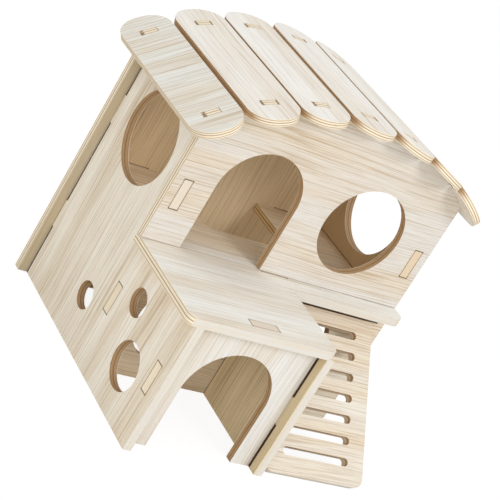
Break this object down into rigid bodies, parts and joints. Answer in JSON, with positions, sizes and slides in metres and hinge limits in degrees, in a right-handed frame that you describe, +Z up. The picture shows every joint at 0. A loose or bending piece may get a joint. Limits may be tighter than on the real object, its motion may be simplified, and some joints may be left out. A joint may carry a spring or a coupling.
{
  "type": "hamster house",
  "caption": "Two-storey plywood hamster house with arched doors, round windows, a porch deck, a slotted leaning ladder and a curved roof of round-ended slats.",
  "frame": {"origin": "on the ground under the middle of the whole house's bounding box", "axes": "+Z up, +X to the right as seen from the front, +Y from the porch to the back wall"},
  "size_m": [0.1992, 0.1764, 0.1834],
  "materials": {
    "wall_ply": "unfinished sanded plywood",
    "deck_ply": "unfinished sanded plywood",
    "ladder_ply": "unfinished sanded plywood",
    "roof_ply": "unfinished sanded plywood"
  },
  "bodies": {
    "house": {"back_wall": "wall_ply", "left_wall": "wall_ply", "right_wall": "wall_ply", "upper_front_wall": "wall_ply", "lower_front_wall": "wall_ply", "lower_side_wall": "wall_ply", "mid_wall": "wall_ply", "deck": "deck_ply", "roof_slat_1": "roof_ply", "roof_slat_2": "roof_ply", "roof_slat_3": "roof_ply", "roof_slat_4": "roof_ply", "roof_slat_5": "roof_ply", "roof_slat_6": "roof_ply", "roof_slat_7": "roof_ply"},
    "ladder": {"ladder": "ladder_ply"}
  },
  "joints": [
    {"name": "ladder_pull", "type": "slide", "parent": "house", "child": "ladder", "axis": [0, -1, 0], "range_m": [0, 0.06]}
  ]
}
